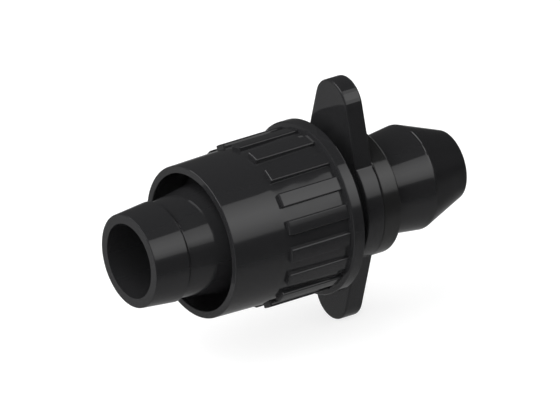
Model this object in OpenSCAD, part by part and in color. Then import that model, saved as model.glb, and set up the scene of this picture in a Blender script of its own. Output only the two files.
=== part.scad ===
// Offtake coupling for soft drip tape. The tape pushes over the barbed spigot and the lock
// nut screws forward over it. The other end is a barb that snaps into a hole in a pipe wall,
// where a rubber ring seals it. Two wings are the grips for pushing it in.
// X runs along the axis from the spigot's open end, and the wings stand along Z.

/* [Spigot] */
// Bore of the spigot
spigot_bore_d = 12.8; // [11:0.1:13.4]
// Outside diameter at the open end
spigot_end_d = 16; // [15:0.1:16.6]
// Diameter over the barb lip
lip_d = 17.2; // [16.8:0.1:18]
// Length from the open end to the lip
lip_x = 6.2; // [4:0.1:8]
// Diameter just behind the lip
neck_d = 16.2; // [15.8:0.1:16.6]
// Diameter at the wide end of the clamping cone
cone_d = 18.9; // [18.4:0.1:19.6]
// Distance from the open end to the wide end of the clamping cone
cone_x = 15.2; // [13:0.1:16]

/* [Thread] */
// Diameter of the core under the nut
core_d = 18; // [17:0.1:18.6]
// Diameter over the male thread
thread_d = 22.6; // [21.6:0.1:23]
// Advance of the nut in one turn
pitch = 4; // [3.6:0.1:5]
// Slope of the thread's flanks in degrees
flank = 25; // [15:1:30]
// Gap between the male and female flanks
thread_gap = 0.2; // [0.15:0.05:0.3]
// Distance from the clamping cone to the first turn of the male thread
thread_lead = 2.4; // [1.8:0.1:4]
// Turns of the male thread
male_turns = 4.4; // [4:0.1:4.6]
// Turns of the female thread
female_turns = 2.2; // [1.5:0.1:2.5]

/* [Lock nut] */
// Length of the nut
nut_len = 24.6; // [22:0.1:26]
// Distance from the spigot's open end to the nut's front rim
nut_x = 12.4; // [11.5:0.1:13]
// Outside diameter at the front rim
nut_front_d = 26; // [25.6:0.1:27]
// Outside diameter where the flange begins
nut_rear_d = 27; // [26.6:0.1:27.6]
// Bore of the nut
nut_bore_d = 23.5; // [23.4:0.1:24]
// Diameter over the rear flange
flange_d = 29.7; // [28.8:0.1:31]
// Thickness of the rear flange at its rim
flange_t = 2.1; // [1.2:0.1:3]
// How much thicker the rear flange is at its root
flange_run = 0.3; // [0.1:0.1:1]
// Number of grip ribs
rib_count = 18; // [12:1:20]
// Width of a grip rib
rib_w = 2.5; // [1.6:0.1:3]
// Diameter over the grip ribs
rib_d = 28.1; // [27.8:0.1:28.6]
// Length of a grip rib
rib_len = 12; // [8:0.1:14]
// Radius of a grip rib's long edges
rib_edge = 0.3; // [0.1:0.05:0.5]
// Angle of the first rib from the wing, as the nut is turned in the photograph
rib_turn = 10.2; // [0:0.1:20]

/* [Hub and wings] */
// Distance from the spigot's open end to the hub
hub_x = 40.5; // [40:0.1:44]
// Diameter of the hub disc
hub_d = 21.7; // [20:0.1:24]
// Thickness of the hub disc and the wings
hub_t = 3.4; // [2:0.1:4]
// Distance between the two wing tips
wing_span = 43.4; // [38:0.1:50]
// Diameter of the round wing tip
wing_tip_d = 9; // [7:0.1:10]
// Width of the wings across the middle, where they cross the hub
wing_root_w = 18.2; // [14:0.1:19.2]
// Radius in the corner between wing and hub
wing_fillet = 0.5; // [0.3:0.1:2]
// Radius of the wing and hub edges
edge = 0.3; // [0.2:0.1:0.8]
// Radius in the corner between the hub and the core
hub_fillet = 1; // [0.4:0.1:1.2]

/* [Seal] */
// Outside diameter of the rubber ring
seal_d = 21.5; // [20:0.1:23]
// Thickness of the rubber ring
seal_t = 3.4; // [2.5:0.1:4.5]
// Gap all round between the rubber ring and its neck
seal_gap = 0.05; // [0.02:0.01:0.1]

/* [Offtake barb] */
// Bore of the barb
barb_bore_d = 9.6; // [8:0.1:10]
// Diameter of the neck under the rubber ring
barb_neck_d = 16.1; // [15:0.1:17]
// Diameter over the barb's edge
barb_d = 18.1; // [17.4:0.1:19]
// Length from the rubber ring to the barb's edge
barb_grip = 8.4; // [6:0.1:11]
// Diameter at the barb's open end
barb_end_d = 11.9; // [11.6:0.1:13]
// Length of the lead-in cone
barb_lead = 8.3; // [6:0.1:10]
// Radius that blunts the barb's edge
barb_round = 1.4; // [0.4:0.1:2]

/* [Hidden] */
$fn = 96;
eps = 0.01;
sink = 0.4;
thread_steps = 40;
thread_fade = 10;
arc_steps = 5;
crisp = 0.15;
soft = 0.3;
wing_steps = 48;
cone_clear = 0.6;
over = 1;

male_x = cone_x + thread_lead;
nut_end = nut_x + nut_len;
seal_x = hub_x + hub_t;
barb_x = seal_x + seal_t;
barb_edge_x = barb_x + barb_grip;
end_x = barb_edge_x + barb_lead;
bore_cone_x = hub_x - (spigot_bore_d - barb_bore_d) / 2;

// The nut's thread clears the cone, so that the nut can go on over the spigot.
nut_crest_d = cone_d + 2 * cone_clear;
crest_w = (pitch - (thread_d - nut_crest_d) * tan(flank) - 2 * thread_gap) / 2;
female_root_w = crest_w + (nut_bore_d + 2 * sink - nut_crest_d) * tan(flank);
female_x = nut_end - soft - female_root_w / 2 - pitch * female_turns;
mesh_turn = 360 * ((female_x - male_x) / pitch - 1 / 2);

function unit(v) = v / norm(v);

// The arc that rounds the corner b between a and c, no longer than the shorter side allows.
function corner(a, b, c, r) =
    let (u = unit(a - b), v = unit(c - b), half = acos(u * v) / 2,
         reach = min(r / tan(half), 0.48 * norm(a - b), 0.48 * norm(c - b)),
         rad = reach * tan(half), mid = b + unit(u + v) * rad / sin(half),
         from = b + u * reach - mid, to = b + v * reach - mid,
         start = atan2(from.y, from.x), turn = atan2(from.x * to.y - from.y * to.x, from * to))
    [for (i = [0 : arc_steps]) mid + rad * [cos(start + turn * i / arc_steps),
                                            sin(start + turn * i / arc_steps)]];

// An outline whose points are [radius, distance along the axis, corner radius].
function rounded(path) =
    let (n = len(path), at = [for (p = path) [p.x, p.y]])
    [for (i = [0 : n - 1]) each path[i].z == 0 ? [at[i]]
        : corner(at[(i + n - 1) % n], at[i], at[(i + 1) % n], path[i].z)];

module turned(path) {
    rotate([0, 90, 0]) rotate_extrude() polygon(rounded(path));
}

// One thread ridge from the root radius to the crest radius, with each end faded out. Each
// ring holds the four corners of its cross section.
module ridge(root_r, crest_r, x, turns, turn) {
    steps = round(turns * thread_steps);
    slope = tan(flank) * (root_r < crest_r ? 1 : -1);
    corners = 4;
    rings = [for (i = [0 : steps])
        let (grow = min(1, (i + 1) / thread_fade, (steps - i + 1) / thread_fade),
             top = root_r + (crest_r - root_r) * grow,
             w_top = crest_w / 2 + (crest_r - top) * slope,
             w_root = crest_w / 2 + (crest_r - root_r) * slope,
             a = 360 * i / thread_steps, z = pitch * i / thread_steps)
        for (p = [[root_r, -w_root], [top, -w_top], [top, w_top], [root_r, w_root]])
            [p.x * cos(a), p.x * sin(a), z + p.y]];
    out = root_r < crest_r;
    sides = [for (i = [0 : steps - 1], k = [0 : corners - 1])
        let (a = corners * i + k, b = corners * i + (k + 1) % corners, c = b + corners,
             d = a + corners)
        each out ? [[a, b, c], [a, c, d]] : [[a, c, b], [a, d, c]]];
    last = corners * steps;
    ends = out ? [[3, 2, 1, 0], [last, last + 1, last + 2, last + 3]]
               : [[0, 1, 2, 3], [last + 3, last + 2, last + 1, last]];
    translate([x, 0, 0]) rotate([0, 90, 0]) rotate([0, 0, turn])
        polyhedron(rings, concat(sides, ends));
}

// A disc of the hub's thickness with rounded edges.
module soft_disc(d, steps) {
    rotate([0, 90, 0]) rotate_extrude($fn = steps)
        polygon(rounded([[0, 0, 0], [d / 2, 0, edge], [d / 2, hub_t, edge], [0, hub_t, 0]]));
}

// The web that rounds the corner between one side of a wing and the hub, and reaches into both.
module wing_web() {
    into = 2;
    reach = (wing_span - wing_tip_d) / 2;
    lean = asin((wing_root_w - wing_tip_d) / 2 / reach);
    hub_r = hub_d / 2;
    far = wing_root_w / 2 + wing_fillet;
    along = sqrt(pow(hub_r + wing_fillet, 2) - far * far);
    side = [sin(lean), cos(lean)];
    wing = [cos(lean), -sin(lean)];
    mid = side * far + wing * along;
    swell = wing_fillet + edge;
    rotate([0, 90, 0]) difference() {
        linear_extrude(hub_t) polygon([mid, unit(mid) * hub_r, unit(mid) * (hub_r - into),
            mid - side * (wing_fillet + into), mid - side * wing_fillet]);
        translate(mid) rotate_extrude($fn = wing_steps) polygon(rounded([
            [0, -eps, 0], [swell + eps, -eps, 0], [swell, 0, 0], [wing_fillet, 0, edge],
            [wing_fillet, hub_t, edge], [swell, hub_t, 0], [swell + eps, hub_t + eps, 0],
            [0, hub_t + eps, 0]]));
    }
}

module wings() {
    tip_z = (wing_span - wing_tip_d) / 2;
    hull() {
        soft_disc(wing_root_w, wing_steps);
        for (s = [-1, 1]) translate([0, 0, s * tip_z]) soft_disc(wing_tip_d, wing_steps);
    }
    soft_disc(hub_d, $fn);
    for (y = [0, 1], z = [0, 1]) mirror([0, y, 0]) mirror([0, 0, z]) wing_web();
}

module coupling_body() {
    color("#1b1b1c") difference() {
        union() {
            turned([
                [0, 0, 0], [spigot_end_d / 2, 0, crisp], [lip_d / 2, lip_x, crisp],
                [neck_d / 2, lip_x + (lip_d - neck_d) / 2, soft],
                [cone_d / 2, cone_x, soft], [core_d / 2, cone_x + (cone_d - core_d) / 2, 0],
                [core_d / 2, hub_x, hub_fillet], [hub_d / 2 - 2 * edge, hub_x, 0],
                [hub_d / 2 - 2 * edge, seal_x, 0], [barb_neck_d / 2, seal_x, 0],
                [barb_neck_d / 2, barb_x, 0], [barb_d / 2, barb_edge_x, barb_round],
                [barb_end_d / 2, end_x, soft], [0, end_x, 0]]);
            ridge(core_d / 2 - sink, thread_d / 2, male_x, male_turns, 0);
            translate([hub_x, 0, 0]) wings();
        }
        turned([
            [0, -over, 0], [spigot_bore_d / 2, -over, 0], [spigot_bore_d / 2, bore_cone_x, 0],
            [barb_bore_d / 2, hub_x, 0], [barb_bore_d / 2, end_x + over, 0],
            [0, end_x + over, 0]]);
    }
}

// One rib along +Z, standing through the crown that later trims it: its long edges are
// rounded into the crown, and so are its two front corners.
module rib_bar(rib_x) {
    arc_y = rib_w / 2 - rib_edge;
    crown = rib_d / 2 - rib_edge + eps;
    arc_r = sqrt(crown * crown - arc_y * arc_y);
    side = [for (i = [0 : arc_steps]) let (t = atan2(arc_r, arc_y) * i / arc_steps)
        [arc_y + rib_edge * cos(t), arc_r + rib_edge * sin(t)]];
    half = concat([[rib_w / 2, nut_bore_d / 2 + sink]], side, [[arc_y, arc_r] * rib_d / crown]);
    intersection() {
        linear_extrude(rib_d) polygon(rounded([
            [rib_x, -rib_w / 2, soft], [nut_end, -rib_w / 2, 0],
            [nut_end, rib_w / 2, 0], [rib_x, rib_w / 2, soft]]));
        translate([rib_x - eps, 0, 0]) rotate([90, 0, 90]) linear_extrude(rib_len + flange_t)
            polygon(concat(half, [for (i = [len(half) - 1 : -1 : 0]) [-half[i].x, half[i].y]]));
    }
}

module ribs() {
    flange_x = nut_end - flange_t;
    rib_x = flange_x - rib_len;
    intersection() {
        turned([[nut_bore_d / 2 + sink, rib_x, 0], [rib_d / 2, rib_x, soft],
            [rib_d / 2, flange_x + soft, 0], [nut_bore_d / 2 + sink, flange_x + soft, 0]]);
        for (i = [0 : rib_count - 1]) rotate([rib_turn + 360 * i / rib_count, 0, 0])
            rib_bar(rib_x);
    }
}

module lock_nut() {
    flange_x = nut_end - flange_t;
    color("#1c1c1d") union() {
        turned([
            [nut_bore_d / 2, nut_x, crisp], [nut_front_d / 2, nut_x, crisp],
            [nut_rear_d / 2, flange_x - flange_run, 0], [flange_d / 2, flange_x, soft],
            [flange_d / 2, nut_end, crisp], [nut_bore_d / 2, nut_end, soft]]);
        ribs();
        ridge(nut_bore_d / 2 + sink, nut_crest_d / 2, female_x, female_turns, mesh_turn);
    }
}

module pipe_seal() {
    color("#161616") turned([
        [barb_neck_d / 2 + seal_gap, seal_x, 0], [seal_d / 2, seal_x, soft],
        [seal_d / 2, barb_x, soft], [barb_neck_d / 2 + seal_gap, barb_x, 0]]);
}

coupling_body();
lock_nut();
pipe_seal();
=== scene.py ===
# %% [markdown]
# # An offtake coupling for drip tape
# The real coupling is three mouldings: a body with a tape spigot, wings and a barb, a ribbed
# lock nut on the body's coarse thread, and a rubber ring behind the wings. Their forms come
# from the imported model, so this lesson is about finish, light and camera: how to make plain
# black plastic read as plastic, when nearly all that the eye gets from it is reflections.

# %% Load the frame
from math import asin, cos, degrees, pi, radians, sin, tan

import bpy
from mathutils import Matrix, Vector


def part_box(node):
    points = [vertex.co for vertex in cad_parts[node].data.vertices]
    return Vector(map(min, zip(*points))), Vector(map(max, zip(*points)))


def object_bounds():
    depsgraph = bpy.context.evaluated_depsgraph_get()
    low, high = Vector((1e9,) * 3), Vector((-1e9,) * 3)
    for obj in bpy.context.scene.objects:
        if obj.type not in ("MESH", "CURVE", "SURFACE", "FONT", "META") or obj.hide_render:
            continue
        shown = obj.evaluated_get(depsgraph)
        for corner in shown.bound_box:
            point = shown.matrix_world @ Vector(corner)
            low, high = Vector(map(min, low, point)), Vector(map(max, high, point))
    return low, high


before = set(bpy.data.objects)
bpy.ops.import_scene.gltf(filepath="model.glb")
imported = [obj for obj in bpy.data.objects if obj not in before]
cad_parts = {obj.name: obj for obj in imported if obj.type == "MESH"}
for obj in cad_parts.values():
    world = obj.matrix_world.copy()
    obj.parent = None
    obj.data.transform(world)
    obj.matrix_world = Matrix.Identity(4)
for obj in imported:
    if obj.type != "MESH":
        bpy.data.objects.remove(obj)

cad_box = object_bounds()
MM = 0.001
for name in sorted(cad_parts):
    low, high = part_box(name)
    print(name, "measures", [round((b - a) / MM, 1) for a, b in zip(low, high)], "mm")

# %% [markdown]
# ## Two helpers
# Colours are written as the hex values that a paint chart or a photo editor shows. Those are
# sRGB values, and a renderer adds up light in linear ones, so one function turns the first
# into the second. The other helper adds a node with its settings and its links in one call.
# A shader tree is then a short list that reads from the first texture to the last socket.

# %% Colours and nodes
def linear(hex_colour):
    """An sRGB hex colour as the linear red, green, blue and alpha that the shaders take."""
    parts = [int(hex_colour[i:i + 2], 16) / 255 for i in (1, 3, 5)]
    return [c / 12.92 if c <= 0.04045 else ((c + 0.055) / 1.055) ** 2.4 for c in parts] + [1]


def add(tree, kind, inputs, **settings):
    """Adds one node. inputs maps each socket to a number, a colour or another node's output."""
    made = tree.nodes.new(kind)
    for name, value in settings.items():
        setattr(made, name, value)
    for socket, value in inputs.items():
        if isinstance(value, bpy.types.NodeSocket):
            tree.links.new(value, made.inputs[socket])
        else:
            made.inputs[socket].default_value = value
    return made


def stops(ramp, levels, low, high):
    """Sets a colour ramp to greys: levels maps a value between low and high to a brightness."""
    while len(ramp.elements) < len(levels):
        ramp.elements.new(0.5)
    for stop, (value, level) in zip(ramp.elements, levels.items()):
        stop.position = (value - low) / (high - low)
        stop.color = (level, level, level, 1)


print("mid grey is", [round(c, 3) for c in linear("#808080")[:3]], "in linear light")

# %% [markdown]
# ## Injection-moulded polypropylene
# The body and the nut are black polypropylene, coloured with carbon black and moulded in
# polished steel. Carbon black takes in nearly all light, so the base colour is close to
# nothing and the form is drawn by the mirror-like skin. Three things keep it from looking like
# glass: the skin is never quite even in gloss, it has a slow waviness where the plastic shrank
# as it cooled, and it carries the fine grain of the steel. They could be painted in an image.
# Noise in the object's own metres needs no unwrapping and keeps its size on every piece, so it
# is used here.

# %% Moulded plastic
SHRINK_WAVE = 7 * MM          # distance between the slow waves left by shrinkage
WAVE_DEPTH = 0.004 * MM       # how deep they are
POLISH_GRAIN = 0.4 * MM       # grain of the polished steel, drawn a few times its real size
GRAIN_DEPTH = 0.00025 * MM    # how deep it is
NOISE_SPAN = (0.3, 0.7)       # where nearly all values of the noise lie
PLASTIC_IOR = 1.49            # refractive index, which sets how strongly the skin mirrors
PLASTIC_GLOSS = (0.05, 0.08)  # its lowest and highest roughness


def moulded(name, colour, ior, gloss, grain_depth):
    """A moulded skin: gloss is its lowest and highest roughness."""
    material = bpy.data.materials.new(name)
    material.use_nodes = True
    tree = material.node_tree
    tree.nodes.clear()
    place = add(tree, "ShaderNodeTexCoord", {}).outputs["Object"]
    waves = add(tree, "ShaderNodeTexNoise",
                {"Vector": place, "Scale": 1 / SHRINK_WAVE, "Detail": 1})
    grain = add(tree, "ShaderNodeTexNoise",
                {"Vector": place, "Scale": 1 / POLISH_GRAIN, "Detail": 2})
    polish = add(tree, "ShaderNodeMapRange",
                 {"Value": waves.outputs["Fac"], "From Min": NOISE_SPAN[0],
                  "From Max": NOISE_SPAN[1], "To Min": gloss[0], "To Max": gloss[1]})
    slow = add(tree, "ShaderNodeBump", {"Height": waves.outputs["Fac"], "Distance": WAVE_DEPTH})
    skin = add(tree, "ShaderNodeBump", {"Height": grain.outputs["Fac"], "Distance": grain_depth,
                                        "Normal": slow.outputs["Normal"]})
    surface = add(tree, "ShaderNodeBsdfPrincipled",
                  {"Base Color": linear(colour), "IOR": ior, "Roughness": polish.outputs[0],
                   "Normal": skin.outputs["Normal"]})
    add(tree, "ShaderNodeOutputMaterial", {"Surface": surface.outputs[0]})
    return material


body_plastic = moulded("moulded_polypropylene", "#202021", PLASTIC_IOR, PLASTIC_GLOSS,
                       GRAIN_DEPTH)
nut_plastic = moulded("moulded_polypropylene_nut", "#212122", PLASTIC_IOR, PLASTIC_GLOSS,
                      GRAIN_DEPTH)
straight_on = ((PLASTIC_IOR - 1) / (PLASTIC_IOR + 1)) ** 2
print("plastic reflects", round(100 * straight_on, 1), "% seen straight on")

# %% [markdown]
# ## Moulded rubber
# The ring is EPDM rubber. It is filled with carbon black as well, and comes out of the mould
# almost as smooth as the plastic. A shader of its own would repeat all that the plastic's does,
# so the same helper makes it, a little softer in gloss and with a grain twice as deep.

# %% Rubber and the dressing of the pieces
RUBBER_IOR = 1.51
RUBBER_GLOSS = (0.08, 0.12)
ring_rubber = moulded("moulded_rubber", "#1e1e1e", RUBBER_IOR, RUBBER_GLOSS, 2 * GRAIN_DEPTH)
finishes = {"coupling_body": body_plastic, "lock_nut": nut_plastic, "pipe_seal": ring_rubber}
for name, finish in finishes.items():
    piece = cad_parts[name]
    for slot in piece.material_slots:
        slot.material = finish
    print(name, "is dressed in", finish.name)

# %% [markdown]
# ## The floor
# The coupling lies on its side on a white sheet. The camera has to see white all round, and
# the glossy plastic must not mirror a floor as bright as that, or its underside would glow.
# So the floor is hidden from glossy rays, which see the studio's walls in its place. A Light
# Path node tells the other rays apart: the camera sees the sheet lifted to white with the
# shadow left in it, and the rays that light the coupling see plain pale paper.

# %% The floor
FLOOR_SIZE = 3.0       # metres
FLOOR_GAP = 0.01 * MM  # how far it lies below the coupling
PAPER_LIFT = 0.75      # what the camera sees added to the paper, where white is 1
sheet = bpy.data.materials.new("white_sheet")
sheet.use_nodes = True
tree = sheet.node_tree
tree.nodes.clear()
path = add(tree, "ShaderNodeLightPath", {})
paper = add(tree, "ShaderNodeBsdfDiffuse", {"Color": linear("#c0c0c0")})
seen_paper = add(tree, "ShaderNodeBsdfDiffuse", {"Color": linear("#a0a0a0")})
lift = add(tree, "ShaderNodeEmission", {"Color": linear("#ffffff"), "Strength": PAPER_LIFT})
seen = add(tree, "ShaderNodeAddShader", {0: seen_paper.outputs[0], 1: lift.outputs[0]})
both = add(tree, "ShaderNodeMixShader", {0: path.outputs["Is Camera Ray"],
                                         1: paper.outputs[0], 2: seen.outputs[0]})
add(tree, "ShaderNodeOutputMaterial", {"Surface": both.outputs[0]})

bpy.ops.mesh.primitive_plane_add(size=FLOOR_SIZE, location=(0, 0, cad_box[0][2] - FLOOR_GAP))
floor = bpy.context.object
floor.name = "floor"
floor.data.materials.append(sheet)
floor.visible_glossy = False
print("the floor lies at", round(floor.location.z / MM, 2), "mm")

# %% [markdown]
# ## The walls
# A black glossy part shows what it mirrors as much as its own colour. On a cylinder each
# stripe along it mirrors one direction round its axis. So the studio is laid out round the
# coupling's axis: dark walls above, behind and level with the near side, and lighter ones low
# down. Real walls would take a mesh with many lit panels. A ramp in the world's shader needs
# none. Only glossy rays see it. The rays that light the colour see a plain dim room, and the
# camera sees white.

# %% The walls
world = bpy.data.worlds.new("studio")
bpy.context.scene.world = world
world.use_nodes = True
tree = world.node_tree
tree.nodes.clear()
way = add(tree, "ShaderNodeTexCoord", {}).outputs["Generated"]
parts = add(tree, "ShaderNodeSeparateXYZ", {"Vector": way})
back = add(tree, "ShaderNodeMath", {0: parts.outputs["Y"], 1: -1.0}, operation="MULTIPLY")
turn = add(tree, "ShaderNodeMath", {0: back.outputs[0], 1: parts.outputs["Z"]},
           operation="ARCTAN2")
share = add(tree, "ShaderNodeMapRange",
            {"Value": turn.outputs[0], "From Min": -pi, "From Max": pi})
walls = add(tree, "ShaderNodeValToRGB", {"Fac": share.outputs[0]})
# Brightness by the angle round the axis, in degrees from straight up: below 0 is the far side
# and above 0 the near side.
WALL_LIGHT = {-180: 0.28, -130: 0.31, -108: 0.27, -98: 0.06, -65: 0.06, -35: 0.055, -5: 0.03,
              15: 0.06, 30: 0.10, 75: 0.08, 84: 0.0, 102: 0.01, 116: 0.10, 128: 0.25,
              145: 0.29, 180: 0.28}
stops(walls.color_ramp, WALL_LIGHT, -180, 180)
FAR_FADE = (0.60, 0.82)  # the wall beyond the barb is dimmer, between these sines of the angle
FAR_LEVEL = 0.35
FILL_LEVEL = 0.12  # the plain dim room that lights the colour
path = add(tree, "ShaderNodeLightPath", {})
far = add(tree, "ShaderNodeMapRange",
          {"Value": parts.outputs["X"], "From Min": FAR_FADE[0], "From Max": FAR_FADE[1],
           "To Min": 1.0, "To Max": FAR_LEVEL})
mirrored = add(tree, "ShaderNodeBackground",
               {"Color": walls.outputs[0], "Strength": far.outputs[0]})
fill = add(tree, "ShaderNodeBackground", {"Color": linear("#ffffff"), "Strength": FILL_LEVEL})
white = add(tree, "ShaderNodeBackground", {"Color": linear("#ffffff"), "Strength": 1.0})
unseen = add(tree, "ShaderNodeMixShader", {0: path.outputs["Is Glossy Ray"],
                                           1: fill.outputs[0], 2: mirrored.outputs[0]})
shown = add(tree, "ShaderNodeMixShader", {0: path.outputs["Is Camera Ray"],
                                          1: unseen.outputs[0], 2: white.outputs[0]})
add(tree, "ShaderNodeOutputWorld", {"Surface": shown.outputs[0]})
print("walls at", len(WALL_LIGHT), "angles round the axis")

# %% [markdown]
# ## The softbox
# The bright band along the coupling is the mirror image of a long softbox, a lamp behind white
# cloth. It could be one more stop on the walls' ramp. But a wall in the world is endlessly far
# away, and a lamp can hang one metre off and on a slant, so its image shifts along the coupling
# as it does in the photograph. A ramp across the cloth gives it a crisp edge on top, its
# brightest part nearer to that edge, and a soft end on the near side.

# %% The softbox
BOX_TURN = radians(56.4)   # where it hangs round the axis, from straight up to the near side
BOX_AWAY = 1.0             # metres from the axis
BOX_ARC = radians(63.4)    # how much of the way round it fills
BOX_SLANT = radians(30)    # its far end is turned this much, up and away from the near side
BOX_HINGE = 0.73           # metres along the axis, where the slant turns it
BOX_LENGTH = (-0.85, 0.7)  # its two ends, in metres from there
# How bright it is across its width, where white paper is 1, from a crisp edge on top to the
# near side.
CLOTH_LIGHT = {0.0: 0.70, 0.06: 0.97, 0.2: 1.37, 0.34: 1.67, 0.48: 1.53, 0.63: 1.10, 0.72: 0.80,
               0.79: 0.03, 1.0: 0.0}
# Its cloth is narrower towards the spigot: the share of its length where that ends and starts,
# and by how much of its width.
CLOTH_TAPER = (0.139, 0.29)
CLOTH_CUT = (0.42, 0.02)
# It is dimmer there as well: the share of its length where that ends and starts, and the level.
CLOTH_FADE = (0.10, 0.45)
CLOTH_DIM = 0.62

out = Vector((0, -sin(BOX_TURN), cos(BOX_TURN)))
along = Vector((1, 0, 0))
nearer_side = along.cross(out)
lengthways = along * cos(BOX_SLANT) - nearer_side * sin(BOX_SLANT)
wide = lengthways.cross(out)
lamp = bpy.data.lights.new("softbox", "AREA")
lamp.shape = "RECTANGLE"
lamp.size = 2 * BOX_AWAY * tan(BOX_ARC / 2)
lamp.size_y = BOX_LENGTH[1] - BOX_LENGTH[0]
lamp.energy = pi * lamp.size * lamp.size_y
lamp.use_nodes = True
tree = lamp.node_tree
tree.nodes.clear()
across = add(tree, "ShaderNodeSeparateXYZ",
             {"Vector": add(tree, "ShaderNodeNewGeometry", {}).outputs["Parametric"]})
cut = add(tree, "ShaderNodeMapRange",
          {"Value": across.outputs["Y"], "From Min": CLOTH_TAPER[0], "From Max": CLOTH_TAPER[1],
           "To Min": CLOTH_CUT[0], "To Max": CLOTH_CUT[1]})
place = add(tree, "ShaderNodeMath", {0: across.outputs["X"], 1: cut.outputs[0]})
cloth = add(tree, "ShaderNodeValToRGB", {"Fac": place.outputs[0]})
stops(cloth.color_ramp, CLOTH_LIGHT, 0, 1)
dim = add(tree, "ShaderNodeMapRange",
          {"Value": across.outputs["Y"], "From Min": CLOTH_FADE[0], "From Max": CLOTH_FADE[1],
           "To Min": CLOTH_DIM})
glow = add(tree, "ShaderNodeEmission", {"Color": cloth.outputs[0], "Strength": dim.outputs[0]})
add(tree, "ShaderNodeOutputLight", {"Surface": glow.outputs[0]})
box = bpy.data.objects.new("softbox", lamp)
bpy.context.scene.collection.objects.link(box)
middle = out * BOX_AWAY + along * BOX_HINGE + lengthways * sum(BOX_LENGTH) / 2
facing = Matrix((wide, lengthways, out)).transposed()  # its columns are the lamp's own axes
box.matrix_world = Matrix.Translation(middle) @ facing.to_4x4()
print("the softbox is", round(lamp.size, 2), "by", round(lamp.size_y, 2), "m")

# %% [markdown]
# ## Three plain lamps
# The softbox gives the shine, but the colour and the end faces need light from ahead. A square
# key lamp hangs high in front of the open end. Its own mirror image would be a glare on every
# rim, so glossy rays don't see it. Two slim lamps draw the bright lines on rounded edges, one
# ahead for the ribs' front corners and one behind for the barb. A rounded edge is a narrow
# mirror that sweeps past the lamp, so each line is as thin as its lamp is slim.

# %% The key lamp and the two edge lamps
def plain_lamp(name, turn, ahead, size, glow, slant=0.0):
    """A lamp one metre away. turn is round the axis from straight up to the near side, ahead
    is how far it hangs before the open end, size is in metres round the axis and along it, glow
    is its brightness where white paper is 1, and slant turns it about its own middle, its near
    end forwards."""
    over = Vector((0, -sin(turn), cos(turn)))
    toward = over * cos(ahead) - along * sin(ahead)
    level = along.cross(over)
    sideways = level * cos(slant) + level.cross(toward) * sin(slant)
    lamp = bpy.data.lights.new(name, "AREA")
    lamp.shape = "RECTANGLE"
    lamp.size, lamp.size_y = size
    lamp.energy = pi * glow * lamp.size * lamp.size_y
    hung = bpy.data.objects.new(name, lamp)
    bpy.context.scene.collection.objects.link(hung)
    facing = Matrix((sideways, toward.cross(sideways), toward)).transposed()
    hung.matrix_world = Matrix.Translation(toward) @ facing.to_4x4()
    print(name, "gives", round(lamp.energy, 1), "watts, its near end points",
          [round(c, 2) for c in sideways])
    return hung


key_lamp = plain_lamp("key_lamp", turn=radians(5), ahead=radians(50), size=(1.9, 1.9),
                      glow=2.75)
key_lamp.visible_glossy = False
plain_lamp("corner_lamp", turn=radians(-15), ahead=radians(16), size=(1.5, 0.22), glow=3.5,
           slant=radians(13))
plain_lamp("edge_lamp", turn=radians(-20), ahead=radians(-50), size=(0.9, 0.12), glow=2.2)

# %% [markdown]
# ## Camera
# The photograph has almost no perspective, so the camera stands far off with a long lens.
# Four facts fix it: the axis rises to the right on the picture, it points away from the
# camera, the wings lean a little round the axis, and one known point of the coupling lies
# on one pixel.

# %% The camera
PICTURE = (560, 419)          # pixels across and down
AXIS_RISE = radians(16.92)    # the axis on the picture, up from level
AXIS_AWAY = radians(30.99)    # the axis, away from the picture's plane
WING_LEAN = radians(21.5)     # the upper wing, leaning towards the camera
RIM_X = 12.38 * MM            # the nut's front rim on the axis
RIM_PIXEL = (190.98, 242.41)  # where the photograph has its centre
PIXEL_SIZE = 0.1646 * MM      # one pixel at the coupling
STAND_OFF = 2.74              # metres from the camera to the rim
CAMERA_REACH = 20             # metres that it sees

axis = Vector((cos(AXIS_AWAY) * cos(AXIS_RISE), cos(AXIS_AWAY) * sin(AXIS_RISE),
               -sin(AXIS_AWAY)))
upward = (Vector((0, 1, 0)) - axis * axis.y).normalized()
nearer = axis.cross(upward)
wing = upward * cos(WING_LEAN) + nearer * sin(WING_LEAN)
top = axis.cross(wing)
turned = Matrix((axis, -top, wing))  # its columns are the picture's right, up and back
rim_right = (RIM_PIXEL[0] - PICTURE[0] / 2) * PIXEL_SIZE
rim_up = (PICTURE[1] / 2 - RIM_PIXEL[1]) * PIXEL_SIZE

camera = bpy.data.objects.new("camera", bpy.data.cameras.new("camera"))
bpy.context.scene.collection.objects.link(camera)
camera.data.lens = camera.data.sensor_width * STAND_OFF / (PICTURE[0] * PIXEL_SIZE)
camera.data.clip_end = CAMERA_REACH
spot = Vector((RIM_X, 0, 0)) - turned @ Vector((rim_right, rim_up, -STAND_OFF))
camera.matrix_world = Matrix.Translation(spot) @ turned.to_4x4()
bpy.context.scene.camera = camera
print("the camera looks down at", round(degrees(asin(turned.col[2].z)), 1), "degrees, lens",
      round(camera.data.lens), "mm")

# %% [markdown]
# ## The view and the end
# The Standard view shows each colour as it was written, with no film curve over it.

# %% The view and the end
bpy.context.scene.view_settings.view_transform = "Standard"
